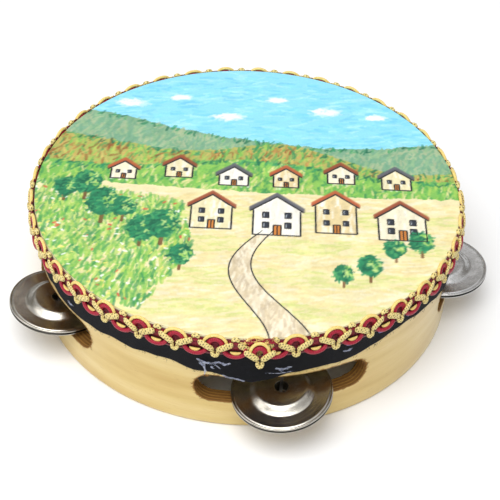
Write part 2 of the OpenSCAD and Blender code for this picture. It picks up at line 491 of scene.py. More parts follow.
def make_hoop():
    n_round, n_flat = 24, 44
    order = sorted(range(5), key=lambda i: SLOT_AZ[i])
    az = [SLOT_AZ[i] for i in order]
    bounds = [(a + b) / 2 for a, b in zip(az, az[1:])]
    bounds = [(az[0] + az[-1] - 360) / 2] + bounds + [(az[0] + az[-1] + 360) / 2]
    steps = (0.0, 0.03, 0.07, 0.13, 0.22, 0.34, 0.48, 0.64, 0.82, 1.0)
    chamfer = 0.3
    build = Build()
    edge_az = set()

    def spot(flat, radius):
        return polar(radius, np.radians(flat[..., 0]), flat[..., 1])

    for k, a in enumerate(az):
        frame_line = slot_frame(a, bounds[k], bounds[k + 1], EDGE_R, HOOP_H - EDGE_R, n_round, n_flat)
        edge_az.update(np.round(frame_line[np.isclose(frame_line[:, 1], EDGE_R), 0], 6).tolist())
        ragged = 0.12 * np.sin(np.arange(len(frame_line)) * 1.7 + k) + rng.normal(0, 0.06, len(frame_line))
        for radius in (HOOP_R, HOOP_IN):
            hole = slot_outline(a, radius, chamfer, n_round, n_flat)
            rows = np.stack([hole + (frame_line - hole) * s for s in steps])
            gap = np.linalg.norm((rows - hole) * (radius * math.pi / 180, 1), axis=-1)
            burn = np.exp(-gap / 0.7) * (0.9 + 0.8 * ragged)
            build.sheet(spot(rows, radius), np.stack([burn] * 3, -1))
        inner = [(HOOP_R - chamfer - t * (HOOP_R - HOOP_IN - 2 * chamfer), 0) for t in np.linspace(0, 1, 13)]
        depth = [(HOOP_R, chamfer)] + inner + [(HOOP_IN, chamfer)]
        walls = []
        for j, (radius, grow) in enumerate(depth):
            ridge = 0.0 if grow or j in (1, 13) else 0.14 * math.sin(j * 2.1)
            walls.append(spot(slot_outline(a, radius, grow + ridge, n_round, n_flat), radius))
        build.sheet(np.stack(walls), np.ones((len(depth), len(frame_line), 3)))
    ring_az = np.radians(sorted(edge_az)[:-1])
    low = arc(HOOP_R - EDGE_R, EDGE_R, EDGE_R, 0, -90, 6)
    low += [(HOOP_R - EDGE_R - t, 0.0) for t in (1.0, 2.0, 3.0)]
    low += arc(HOOP_IN + EDGE_R, EDGE_R, EDGE_R, -90, -180, 6)
    top = [(r, HOOP_H - down) for r, down in (
        (HOOP_R, EDGE_R), (HOOP_R, 0.5), (HOOP_R - 0.5, 0.02), (PIN_RING, 0.02),
        (HOOP_IN + 0.5, 0.02), (HOOP_IN, 0.5), (HOOP_IN, EDGE_R),
    )]
    for profile in (low, top):
        build.sheet(np.stack([polar(r, ring_az, z) for r, z in profile]))
    obj = build.object("hoop_wood", WOOD, attribute="burn", weld=True)
    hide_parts("hoop")


def make_fibres():
    """Torn, scorched fibres left by the cutter round each slot's edge."""
    n_round, n_flat = 24, 44
    build = Build()
    for az in SLOT_AZ:
        for radius, face in ((HOOP_R, 1.0), (HOOP_IN, -1.0)):
            line = slot_outline(az, radius, 0.2, n_round, n_flat)
            for _ in range(90):
                near_end = rng.random() < 0.7
                if near_end:
                    pick = rng.integers(0, n_round) + (n_round + n_flat if rng.random() < 0.5 else 0)
                else:
                    pick = rng.integers(0, len(line))
                a, z = line[pick % len(line)]
                a += rng.normal(0, 0.35)
                length = rng.uniform(0.5, 1.9 if near_end else 0.9)
                heading = rng.normal(0, 0.5) + (0 if a > az else math.pi)
                t = np.linspace(0, 1, 4)
                drop = rng.normal(0, 0.25)
                turn = np.radians(a) + t * length * math.cos(heading) / radius
                height = z + (t * length * math.sin(heading) + drop * t**2)
                proud = 0.02 + 0.35 * t**2 * rng.random()
                path = polar(radius + face * (proud + 0.03), turn, height)
                sweep(build, path, 0.17, 0.07, 4, ends=(), taper=(1, 0.8, 0.5, 0.08))
    build.object("slot_fibres", FIBRE)


# ---- painting
PX, HALF = 0.25, 100.0
SIDE = int(2 * HALF / PX)
AXIS = (np.arange(SIDE) + 0.5) * PX - HALF
canvas = np.empty((SIDE, SIDE, 3))
relief = np.zeros((SIDE, SIDE))


def soft_noise(cell, seed):
    """A smooth random field over the canvas, from -1 to 1, with blobs of one size in mm."""
    m = int(2 * HALF / cell) + 3
    g = np.random.default_rng(seed).uniform(-1, 1, (m, m))
    t = (AXIS + HALF) / cell
    i = t.astype(int)
    f = (t - i) ** 2 * (3 - 2 * (t - i))
    rows = g[i] * (1 - f)[:, None] + g[i + 1] * f[:, None]
    return rows[:, i] * (1 - f) + rows[:, i + 1] * f


WOBBLE_X = soft_noise(4.0, 1) + 0.5 * soft_noise(1.3, 2)
WOBBLE_Y = soft_noise(4.0, 3) + 0.5 * soft_noise(1.3, 4)
MOTTLE = 0.6 * soft_noise(6.0, 5) + 0.4 * soft_noise(1.5, 6)


def window(points, pad):
    lo, hi = points.min(0) - pad, points.max(0) + pad
    cells = [(max(int((a + HALF) / PX), 0), min(int((b + HALF) / PX) + 1, SIDE)) for a, b in zip(lo, hi)]
    return slice(*cells[1]), slice(*cells[0])


def lay(rows, cols, cover, colour, lift):
    tint = np.array(colour) / 255 * (1 + 0.05 * MOTTLE[rows, cols, None])
    canvas[rows, cols] += (tint - canvas[rows, cols]) * cover[..., None]
    relief[rows, cols] += (lift - relief[rows, cols]) * cover


def inside(x, y, pts):
    hit = np.zeros(np.broadcast(x, y).shape, bool)
    for (x0, y0), (x1, y1) in zip(pts, np.roll(pts, -1, 0)):
        if y0 != y1:
            hit ^= ((y0 > y) != (y1 > y)) & (x < (x1 - x0) * (y - y0) / (y1 - y0) + x0)
    return hit


def fill(points, colour, ragged=0.5):
    """A patch of one colour with a slightly ragged edge."""
    pts = np.array(points, float)
    rows, cols = window(pts, 2.0)
    x = AXIS[None, cols] + ragged * WOBBLE_X[rows, cols]
    y = AXIS[rows, None] + ragged * WOBBLE_Y[rows, cols]
    lay(rows, cols, inside(x, y, pts) * 1.0, colour, 0.02)


def brush(path, width, colour, dry=0.35, cover=0.9, lift=0.06):
    """One stroke of a bristle brush along a path, running dry towards its end."""
    pts = np.array(path, float)
    rows, cols = window(pts, width)
    x, y = AXIS[None, cols], AXIS[rows, None]
    near = np.full(np.broadcast(x, y).shape, 1e9)
    across, along, run = near * 0, near * 0, 0.0
    for p, q in zip(pts, pts[1:]):
        d = q - p
        length = math.hypot(*d) + 1e-9
        t = np.clip(((x - p[0]) * d[0] + (y - p[1]) * d[1]) / length**2, 0, 1)
        dist = np.hypot(x - p[0] - t * d[0], y - p[1] - t * d[1])
        closer = dist < near
        near = np.where(closer, dist, near)
        across = np.where(closer, ((x - p[0]) * d[1] - (y - p[1]) * d[0]) / length, across)
        along = np.where(closer, run + t * length, along)
        run += length
    far = along / run
    phase = rng.uniform(0, 6, 2)
    hairs = np.sin(across * 8.3 / min(width, 2) + phase[0])
    streak = 0.5 + 0.5 * hairs * np.cos(across * 3.1 + along * 0.4 + phase[1])
    edge = np.clip((width / 2 - near) / PX + 0.5, 0, 1)
    wet = np.clip(1 - dry * streak * (0.5 + far), 0, 1)
    lay(rows, cols, edge * cover * wet, colour, lift * (0.4 + 0.6 * streak))


def dabs(region, count, colours, length, width, angle, spread=15, **look):
    """Many short strokes scattered over a region."""
    pts = np.array(region, float)
    lo, hi = pts.min(0), pts.max(0)
    spots = rng.uniform(lo, hi, (count * 6, 2))
    spots = spots[inside(spots[:, 0], spots[:, 1], pts)][:count]
    for spot in spots:
        a = math.radians(angle + rng.normal(0, spread))
        reach = length * rng.uniform(0.3, 0.7) * np.array([math.cos(a), math.sin(a)])
        bend = rng.normal(0, 0.1) * np.array([-reach[1], reach[0]])
        wide = width * rng.uniform(0.7, 1.3)
        brush([spot - reach, spot + bend, spot + reach], wide, colours[rng.integers(len(colours))], **look)


ink_lines = []


def ink(path, width=0.8):
    """A line of thin black paint, drawn on the canvas and kept for its own raised ribbon."""
    ink_lines.append((np.array(path, float), width))
    brush(path, width, (24, 26, 32), dry=0.1, lift=0.04)


def oval(cx, cy, rx, ry, n):
    a = np.radians(np.linspace(0, 360, n))
    return columns(cx + rx * np.cos(a), cy + ry * np.sin(a))


# A made-up countryside: rolling hills, plain houses, round trees and a lane
WHITE, CREAM, BUTTER = (250, 250, 246), (240, 234, 206), (238, 222, 160)
GREENS = ((118, 186, 82), (88, 166, 84), (150, 202, 92), (60, 140, 84), (176, 208, 96))
EARTHS = ((140, 84, 44), (176, 122, 66), (206, 164, 92), (222, 190, 112))
LEAVES = ((34, 118, 82), (44, 144, 96), (24, 96, 70), (84, 168, 104))
ROOFS = ((184, 92, 56), (150, 76, 50), (92, 94, 104))
WALLS = ((242, 234, 204), (236, 226, 182), (246, 242, 228), (232, 212, 160))


def skyline(left, right, swell, waves, phase):
    """A rolling line across the whole canvas."""
    t = np.linspace(0, 1, 60)
    rise = swell * (np.sin(waves * math.pi * t + phase) + 0.3 * np.sin(5.3 * waves * t + 2 * phase))
    return columns(202 * t - 101, left + (right - left) * t + rise)


def paint_sky():
    canvas[:] = np.array((146, 222, 248)) / 255
    sky = [(-100, 10), (-90, 70), (0, 101), (90, 70), (100, 10)]
    blues = ((122, 212, 246), (160, 230, 252), (186, 240, 254), (112, 200, 244), (146, 226, 250))
    dabs(sky, 1500, blues, 7, 1.6, 8, 12, dry=0.5, cover=0.5, lift=0.04)
    for k in range(6):
        x, y, size = -62 + 25 * k, 66 + 9 * math.sin(2.4 * k), 7 + 2 * math.cos(3.1 * k)
        for spread, tint in ((1.0, (214, 241, 250)), (0.7, WHITE)):
            cloud = oval(x, y + 1, size * spread, size * 0.4 * spread, n=12)
            dabs(cloud, 30, (tint,), 3, 1.3, 5, 20, dry=0.5, cover=0.6)


def paint_hills():
    for left, right, swell, waves, phase, base, tones in (
        (52, 34, 7, 2.3, 0.5, (128, 172, 140), ((112, 164, 130), (150, 186, 140), (176, 190, 150))),
        (40, 20, 6, 3.1, 2.2, (176, 178, 96), GREENS + EARTHS),
        (20, 14, 4, 2.2, 4.2, (128, 188, 90), GREENS + (BUTTER,)),
    ):
        crest = skyline(left, right, swell, waves, phase)
        fill(np.concatenate([crest, [(101, -20), (-101, -20)]]), base, 0.8)
        slope = np.concatenate([crest - (0, 1.5), (crest - (0, 30))[::-1]])
        dabs(slope, 1500, tones, 4, 1.2, 74, 22, dry=0.4, cover=0.7, lift=0.08)
        hedge = np.concatenate([crest, (crest - (0, 3))[::-1]])
        dabs(hedge, 160, LEAVES, 2.4, 1.1, 60, 30, cover=0.7, lift=0.1)


def paint_fields():
    near = skyline(-2, 0, 3, 1.6, 1.0)
    fill(np.concatenate([near, [(101, -101), (-101, -101)]]), (238, 226, 178), 0.8)
    for k in range(9):
        top, low = -4 - 10.5 * k, -15 - 10.5 * k
        strip = [(-100, top), (100, top), (100, low), (-100, low)]
        tones = ((CREAM, BUTTER, (230, 210, 150)), (BUTTER, (222, 222, 150), (206, 214, 130)))[k % 2]
        dabs(strip, 420, tones, 6, 1.3, 4, 9, dry=0.5, cover=0.65)
    meadow = [(-101, 4), (-30, -12), (-24, -44), (-44, -84), (-101, -70)]
    dabs(meadow, 2200, GREENS + ((206, 222, 130),), 4, 1.2, 80, 16, cover=0.75, lift=0.09)
    dabs(meadow, 160, (WHITE, (240, 226, 120), (214, 96, 70)), 1.2, 0.9, 0, 60, dry=0.1, lift=0.12)
    y = np.linspace(-100, -30, 24)
    middle, half = 10 + 12 * np.sin((y + 30) / 16), 2.4 + 0.1 * (-30 - y)
    lane = np.concatenate([columns(middle - half, y), columns(middle + half, y)[::-1]])
    fill(lane, (232, 218, 188), 0.6)
    dabs(lane, 260, ((246, 238, 216), (214, 196, 160), (196, 178, 148)), 4, 1.1, 84, 14, cover=0.6)
    for side in (-1, 1):
        ink(columns(middle + side * half, y), 0.5)


def house(x, y, wide, tall, k):
    """A plain cottage with its gable to the front, standing with its lower left corner at x, y."""
    wall, roof = WALLS[k % 4], ROOFS[k % 3]
    peak = y + tall + 0.45 * wide
    front = [(x, y), (x, y + tall), (x + wide / 2, peak), (x + wide, y + tall), (x + wide, y)]
    fill(front, wall, 0.3)
    dabs(front, int(wide * tall / 4), (wall, tuple(0.93 * c for c in wall), WHITE), 4, 1.2, 86, 8, cover=0.6)
    eaves = [(x - 1.4, y + tall - 1), (x + wide / 2, peak), (x + wide + 1.4, y + tall - 1)]
    for rise in (0.6, 1.5, 2.4):
        tile = tuple((0.85 + 0.08 * rise) * c for c in roof)
        brush(np.array(eaves) + (0, rise), 1.4, tile, dry=0.25, lift=0.1)
    ink(eaves, 0.7)
    ink([(x, y + tall - 0.6), (x, y), (x + wide, y), (x + wide, y + tall - 0.6)], 0.7)
    pane, columns = 0.13 * wide, (0.2, 0.67)
    for share in columns:
        for level in (0.55,) if tall < 14 else (0.28, 0.68):
            left, low = x + share * wide, y + level * tall
            right, high = left + pane, low + 1.4 * pane
            shutter = [(left, low), (right, low), (right, high), (left, high)]
            fill(shutter, (48, 54, 64), 0.15)
            ink(shutter + shutter[:1], 0.45)
            glint = [(left + 0.2 * pane, low + 0.3 * pane), (left + 0.2 * pane, low + pane)]
            brush(glint, 0.5, (206, 214, 220), lift=0.11)
    left, door = x + 0.43 * wide, 0.16 * wide
    leaf = [(left, y), (left, y + 2 * door), (left + door, y + 2 * door), (left + door, y)]
    fill(leaf, (206, 130, 60), 0.15)
    ink(leaf, 0.6)
    ink([(left + door / 2, y), (left + door / 2, y + 2 * door)], 0.4)


def paint_village():
    for k in range(6):
        house(-66 + 26 * k, 4 + 3 * math.sin(1.9 * k), 12 + k % 3, 8 + k % 2, k)
    for k in range(4):
        house(-26 + 29 * k, -30 - 3 * (k % 2), 19 + 3 * (k % 2), 16 + 2 * (k % 3), k + 1)


def tree(x, y, size):
    """A round tree, lighter on its right side."""
    brush([(x, y), (x + 0.3, y + size)], 0.2 * size, (112, 74, 44), dry=0.2, lift=0.1)
    crown = oval(x, y + 1.5 * size, 0.8 * size, size, n=16)
    fill(crown, (40, 126, 86), 1.0)
    dabs(crown, int(size * size), LEAVES, 2.4, 1.1, 50, 40, cover=0.85, lift=0.11)
    lit = oval(x + 0.35 * size, y + 1.7 * size, 0.4 * size, 0.7 * size, n=14)
    dabs(lit, int(2.5 * size), ((160, 206, 100), (206, 228, 140)), 1.6, 0.9, 60, 40, cover=0.8, lift=0.13)


def paint_trees():
    for k in range(7):
        tree(-86 + 9.5 * k, -14 - 7.5 * k + 9 * (k % 2), 7 + 1.5 * (k % 3))
    for k in range(4):
        tree(44 + 12 * k, -66 + 9 * k - 5 * (k % 2), 6 + k % 2)


def disc_grid(n, radius):
    """A square grid of points mapped evenly onto a disc."""
    t = np.linspace(-1, 1, n)
    a, b = np.meshgrid(t, t)
    flat = np.abs(a) > np.abs(b)
    r = np.where(flat, a, b)
    with np.errstate(divide="ignore", invalid="ignore"):
        turn = np.where(flat, math.pi / 4 * b / a, math.pi / 2 - math.pi / 4 * a / b)
    turn = np.nan_to_num(turn)
    return radius * r * np.cos(turn), radius * r * np.sin(turn)


def sample(field, x, y):
    """Reads a canvas field at places in mm, between its cells."""
    u = np.clip((x + HALF) / PX - 0.5, 0, SIDE - 1.001)
    v = np.clip((y + HALF) / PX - 0.5, 0, SIDE - 1.001)
    i, j = v.astype(int), u.astype(int)
    a, b = v - i, u - j
    if field.ndim == 3:
        a, b = a[..., None], b[..., None]
    return (field[i, j] * (1 - a) * (1 - b) + field[i + 1, j] * a * (1 - b)
            + field[i, j + 1] * (1 - a) * b + field[i + 1, j + 1] * a * b)


def make_picture():
    for step in (paint_sky, paint_hills, paint_fields, paint_village, paint_trees):
        step()
    n = 381
    x, y = disc_grid(n, PICTURE_R)
    lift = sample(relief, x, y)
    z = SKIN_TOP + 0.03 + np.clip(lift, 0, 0.15)
    build = Build()
    build.sheet(columns(x, y, z), around=False)
    index = np.arange(n * n).reshape(n, n)
    border = np.concatenate([index[0], index[1:, -1], index[-1, -2::-1], index[-2:0:-1, 0]])
    rim = build.points[0][border] * (1, 1, 0)
    count, start, sunk = len(border), n * n, SKIN_TOP - 0.05
    faces = []
    for k in range(count):
        k2 = (k + 1) % count
        faces += [[border[k] - start, border[k2] - start, k2, k], [k, k2, count]]
    build.add(np.concatenate([rim * 1.002 + (0, 0, sunk), [(0, 0, sunk)]]), faces)
    obj = build.object("painted_picture", PAINT)
    mesh = obj.data
    colours = np.ones((len(mesh.vertices), 4), np.float32)
    colours[:start, :3] = sample(canvas, x, y).reshape(-1, 3)
    colours[start:, :3] = sample(canvas, np.append(rim[:, 0], 0), np.append(rim[:, 1], 0))
    colours[:, :3] = linear(np.clip(colours[:, :3], 0, 1))
    mesh.attributes.new("paint", "FLOAT_COLOR", "POINT").data.foreach_set("color", colours.ravel())
    flat_map(mesh, PICTURE_R + 0.4, SKIN_TOP + 0.02)


def flat_map(mesh, reach, level):
    """A map seen from straight above; faces below the top go to a spare corner."""
    layer = mesh.uv_layers.new(name="OFBake")
    co = np.empty(len(mesh.vertices) * 3)
    mesh.vertices.foreach_get("co", co)
    co = co.reshape(-1, 3) / MM
    loops = np.empty(len(mesh.loops), int)
    mesh.loops.foreach_get("vertex_index", loops)
    totals = np.empty(len(mesh.polygons), int)
    mesh.polygons.foreach_get("loop_total", totals)
    poly = np.repeat(np.arange(len(totals)), totals)
    under = np.bincount(poly, co[loops, 2] < level) > 0
    uv = 0.5 + co[loops, :2] / (2 * reach)
    low = under[poly]
    uv[low] = 0.02 + 0.03 * uv[low]
    layer.data.foreach_set("uv", uv.astype(np.float32).ravel())


def make_ink():
    build = Build()
    for path, width in ink_lines:
        line, run = resample(path, 0.9)
        line = line + rng.normal(0, 0.06, line.shape)
        keep = np.hypot(line[:, 0], line[:, 1]) < PICTURE_R - 0.5
        if keep.sum() < 4:
            continue
        line = line[keep]
        step = unit(np.gradient(line, axis=0))
        across = columns(-step[:, 1], step[:, 0])
        swell = 0.18 * np.sin(run[keep] * 1.3 + rng.uniform(0, 6))
        half = width / 2 * (1 + swell + rng.normal(0, 0.05, len(line)))
        half[0] *= 0.5
        half[-1] *= 0.3
        top = SKIN_TOP + 0.05 + sample(relief, line[:, 0], line[:, 1]) + 0.06
        rows = []
        for share, high in ((-1.0, False), (-0.6, True), (0.6, True), (1.0, False)):
            spot = line + across * (half * share)[:, None]
            rows.append(columns(*spot.T, top if high else SKIN_TOP))
        build.sheet(np.stack(rows, 1), caps=True)
    obj = build.object("picture_lines", INK)


def make_skin():
    bend = arc(SKIN_R - 0.8, SKIN_TOP - 0.8, 0.8, 90, 0, 6)
    profile = [(0.01, SKIN_TOP)] + [(r, SKIN_TOP) for r in (20, 45, 70, 90, 99)] + bend
    profile += [(SKIN_R + 0.04 * math.sin(k), SKIN_TOP - 2 - k) for k in range(6)]
    profile += [(SKIN_R, 47.0), (SKIN_R - SKIN_T, 47.0)]
    profile += [(SKIN_R - SKIN_T, SKIN_TOP - SKIN_T - 0.2)]
    profile += [(r, SKIN_TOP - SKIN_T) for r in (99, 92, 70, 45, 20, 0.01)]
    build = Build()
    build.sheet(lathe(profile, 180), ring=True)
    obj = build.object("skin", SKIN)
    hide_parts("drum_skin")


# ---- cloth band
# The cloth's cut lower edge as (azimuth, height): uneven, and lowest under the lapped ends
CLOTH_EDGE = ((-180, 35.5), (-150, 35), (-138, 33.5), (-128, 34.8), (-110, 36.6), (-100, 34.2), (-94, 33),
              (-87, 30.2), (-82, 31.6), (-77, 34), (-60, 35), (-50, 39), (-40, 39.5), (-32, 36.4), (-22, 32),
              (0, 33.5), (60, 37), (120, 36.5), (180, 35.5))


def band_edge(az):
    a = np.radians(az)
    scallop = 0.8 * np.abs(np.sin(a * 14 + 0.6 * np.sin(a * 5))) + 0.3 * np.sin(a * 37 + 2 * np.sin(a * 3))
    return np.interp(az, *zip(*CLOTH_EDGE)) + scallop - 0.5


def make_band():
    az = np.linspace(-180, 180, 900, endpoint=False)
    a, low, top = np.radians(az), band_edge(az), HOOP_H - 3.5
    crease = 0.10 * np.sin(a * 23 + 3 * np.sin(a * 4)) + 0.08 * np.sin(a * 61)
    lift = np.interp(az, (-106, -97, -90, -84, -78), (0, 0.25, 0.9, 0.7, 0))
    shares = (0.0, 0.03, 0.1, 0.2, 0.32, 0.45, 0.6, 0.75, 0.9, 1.0)
    rows, values = [], []
    for outer, foot, step, flat in ((True, 100.62, 0.58, 101.2), (False, 100.04, 0.66, 100.72)):
        for s in shares if outer else shares[::-1]:
            z = low + (top - low) * s
            r = np.where(z > 46.5, flat, foot + step * np.clip((z - 42) / 4.5, 0, 1))
            if outer:
                r = r + crease * (1 - s) + lift * (1 - s) ** 2 + (0.0 if 0 < s < 1 else -0.12)
            else:
                r = r + lift * (1 - s) ** 2 * 0.8
            rows.append(polar(r, a, z))
            values.append(columns(a * HOOP_R, z, 0))
    build = Build()
    build.sheet(np.stack(rows), np.stack(values), ring=True)
    obj = build.object("cloth_band", CLOTH, attribute="weave")
    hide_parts("trim_band")


def make_frays():
    """Loose threads along the cloth's cut edge."""
    build = Build()
    for _ in range(230):
        az = rng.uniform(-180, 180)
        z = float(band_edge(az))
        length = rng.uniform(0.6, 1.8)
        t = np.linspace(0, 1, 5)
        along = length * t * rng.normal(0, 0.6) + 0.3 * np.sin(t * 5)
        flat = columns(along, z + 0.5 - length * t, 101.0 + 0.2 * t * rng.random())
        sweep(build, rim_path(az, flat), 0.07, 0.06, 4, ends=(), taper=(1, 1, 0.9, 0.7, 0.3))
    build.object("cloth_frays", CLOTH, attribute="weave")


# ---- braid
def slant(az, path, top=BRAID_TOP, low=BRAID_LOW):
    """Turns points into places on the leaning braid. Each is given as how far along the rim,
    its share of the braid's width up from the lower edge, and how far it lies in front."""
    p = np.asarray(path, float)
    a = np.radians(az) + p[:, 0] / BRAID_R
    inward = (0.5 + 0.7 * np.cos(a - math.radians(SWAY_AZ))) * (top == BRAID_TOP)
    rise = np.subtract(top, low) + np.outer(inward, (-1.0, 0.35))
    face = columns(rise[:, 1], -rise[:, 0]) / np.hypot(*rise.T)[:, None]
    spot = low + p[:, 1:2] * rise + p[:, 2:3] * face
    return polar(spot[:, 0], a, spot[:, 1])


def arch_path(width, low, high, reach, n, front=0.0):
    """An arch from -reach to reach degrees; it opens downwards where high is above low."""
    a = np.radians(np.linspace(-reach, reach, n))
    return columns(rng.normal(0, 0.15) + width * np.sin(a), low + (high - low) * np.cos(a), front)


class Braid:
    """The three cords of the braid, built up unit by unit."""

    def __init__(self, top=BRAID_TOP, low=BRAID_LOW):
        self.crimson, self.speckled, self.gold = Build(), Build(), Build()
        self.edges = top, low

    def cord(self, build, az, path, wide, deep, sides=10, squareness=1.0, size=1.0, **look):
        p = np.array(path, float)
        p[:, 0] *= size
        sweep(build, slant(az, p, *self.edges), wide, deep, sides, squareness, **look)

    def unit(self, az, size=1.0):
        """One arch with its horseshoe, V bands and bottom picot, centred at an azimuth."""
        arch = arch_path(4.85 + rng.normal(0, 0.15), 0.57, 1.0 + rng.normal(0, 0.01), 106, 23, 0.35)
        self.cord(self.gold, az, arch, 0.72, 0.75, size=size)
        shoe = arch_path(2.95, 0.54, 0.8, 140, 21)
        self.cord(self.crimson, az, shoe, 1.15, 1.05, size=size)
        # The hollow inside the horseshoe and the foot below it are cords set back and darkened: painted
        # shade.
        hollow = [(-0.9, 0.5, -0.6), (0, 0.54, -0.5), (0.9, 0.5, -0.6)]
        self.cord(self.speckled, az, resample(hollow, 0.4)[0], 1.0, 0.4, 8, size=size, shade=0.9)
        foot = [(-1.6, 0.4, -0.7), (-0.5, 0.38, -0.6), (0.5, 0.38, -0.6), (1.6, 0.4, -0.7)]
        self.cord(self.crimson, az, foot, 1.3, 0.4, 8, size=size, shade=0.75)
        for side in (-1, 1):
            t = np.linspace(0, 1, 14)
            x = side * (7.5 - 6.7 * t + 0.5 * np.sin(t * math.pi))
            share = 0.64 - 0.31 * t**1.15 + 0.05 * np.sin(t * math.pi) + rng.normal(0, 0.008)
            front = 0.75 + 0.4 * np.sin(t * math.pi) + (0.25 if side > 0 else 0.0) * t
            self.cord(self.speckled, az, columns(x, share, front), 1.5, 0.6, 10, 0.7, size, ends=(0.55, 0.85))
        self.cord(self.speckled, az, arch_path(1.2, 0.15, 0.03, 155, 15, 0.2), 0.85, 0.7, 8, 0.8, size)

    def between(self, az):
        """The picot knob, crescent and loop that lie between two arches."""
        self.cord(self.speckled, az, arch_path(0.95, 0.82, 0.9, 125, 13, 0.3), 1.0, 0.95, 10, 0.9)
        self.cord(self.crimson, az, arch_path(4.5, 0.3, 0.03, 97, 21, -0.1), 1.0, 0.95)
        # The loop, web, tie and wraps are darkened by their shade values: painted shade where they lie back
        # in the braid.
        t = np.sin(np.linspace(0.12, math.pi - 0.12, 13))
        loop = arch_path(2.3, 0.3, 0.2, 82, 13, 0.1)
        self.cord(self.gold, az, loop, 0.75, 0.65, 8, 0.85, taper=t, ends=(), shade=0.12)
        web = [(-2.4, 0.47, -0.7), (0, 0.42, -0.6), (2.4, 0.47, -0.7)]
        self.cord(self.crimson, az, resample(web, 0.6)[0], 1.0, 0.4, 8, shade=0.55)
        tie = [(-3.0, 0.68, -0.2), (-1, 0.65, -0.1), (1, 0.65, -0.1), (3.0, 0.68, -0.2)]
        self.cord(self.crimson, az, tie, 1.3, 0.45, 8, shade=0.3)
        for side in (-1, 1):
            wrap = [(side * 3.2, 0.8, -0.2), (side * 2.5, 0.73, -0.1), (side * 1.6, 0.68, 0.0)]
            self.cord(self.crimson, az, resample(wrap, 0.4)[0], 0.65, 0.6, 8, shade=0.1)

    def backing(self):
        """The core threads behind the cords, darkened as painted shade in the gaps between them."""
        az = np.linspace(0, 360, 361)
        along = np.radians(az) * BRAID_R
        threads = ((0.1, -1.2, 0.9), (0.32, -1.0, 1.3), (0.55, -0.45, 1.3), (0.77, -0.05, 0.9))
        for share, front, wide in threads:
            path = columns(along, share + 0.02 * np.sin(along / 2.8), front)
            sweep(self.crimson, slant(0.0, path), wide, 0.4, 6, shade=0.8, ends=())

    def finish(self, prefix, node=None):
        for name, material in (("crimson", CRIMSON), ("speckled", SPECKLED), ("gold", GOLD)):
            obj = getattr(self, name).object(f"{prefix}_{name}", material, attribute="cord")
            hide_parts(node or f"braid_{name}_cord")


def make_braid():
    near = [-28.7 - 9.617 * k for k in range(13)]
    far = np.linspace(near[-1], near[0] - 360, 26)[1:-1].tolist()
    units = near + far
    braid = Braid()
    braid.backing()
    for az, following in zip(units, units[1:] + [units[0] - 360]):
        braid.unit(az + rng.normal(0, 0.12))
        braid.between((az + following) / 2)
    braid.finish("braid")


def make_lap():
    """The braid's lapped end: one more unit standing proud, with frayed threads."""
    lap = Braid(LAP_TOP, LAP_LOW)
    lap.unit(LAP_AZ, 0.86)
    for k in range(44):
        t = np.linspace(0, 1, 7)
        lean, curl, rise = rng.normal(0, 2.2), rng.normal(0, 0.9), rng.uniform(0.1, 0.3)
        path = [lean * t + curl * np.sin(t * 4), 0.98 + rise * t - 0.1 * t**3, 0.2 - 2.2 * t * rng.random()]
        root = LAP_AZ + rng.choice((rng.uniform(-3, 2.6), rng.normal(2.4, 0.7)))
        spots = slant(root, columns(*path), LAP_TOP, LAP_LOW)
        build = lap.gold if k % 3 == 0 else lap.crimson
        sweep(build, spots, 0.22, 0.22, 5, ends=(), taper=np.linspace(1, 0.35, 7), shade=0.05)
    for side in (-1, 1):
        stub = [(side * 5.6, 0.76, -0.6), (side * 6.2, 0.6, -0.5), (side * 6.0, 0.44, -0.7)]
        sweep(lap.crimson, slant(LAP_AZ, resample(stub, 0.4)[0], LAP_TOP, LAP_LOW), 0.9, 0.8, 8)
    lap.finish("lap", "braid_lap")


def make_petals():
    """Lilac thread that shows below the braid."""
    build = Build()
    t = np.linspace(-1, 1, 11)
    for az, x, z, half, tall in (
        (-33.4, 1.0, 45.6, 3.0, 0.9), (-43.2, 1.0, 45.4, 3.4, 1.1), (-52.8, 1.2, 45.3, 3.6, 1.1),
        (-62.4, 1.0, 45.4, 3.2, 1.0), (-24.0, 0.6, 45.6, 2.6, 0.8),
    ):
        flat = columns(x + half * t, z - 0.5 * (1 - t**2) * tall + 0.35 * t, 101.5)
        sweep(build, rim_path(az, flat), tall, 0.4, 8, taper=np.sqrt(np.clip(1.02 - t**2, 0, 1)), ends=())
    build.object("lilac_thread", LILAC, attribute="cord")


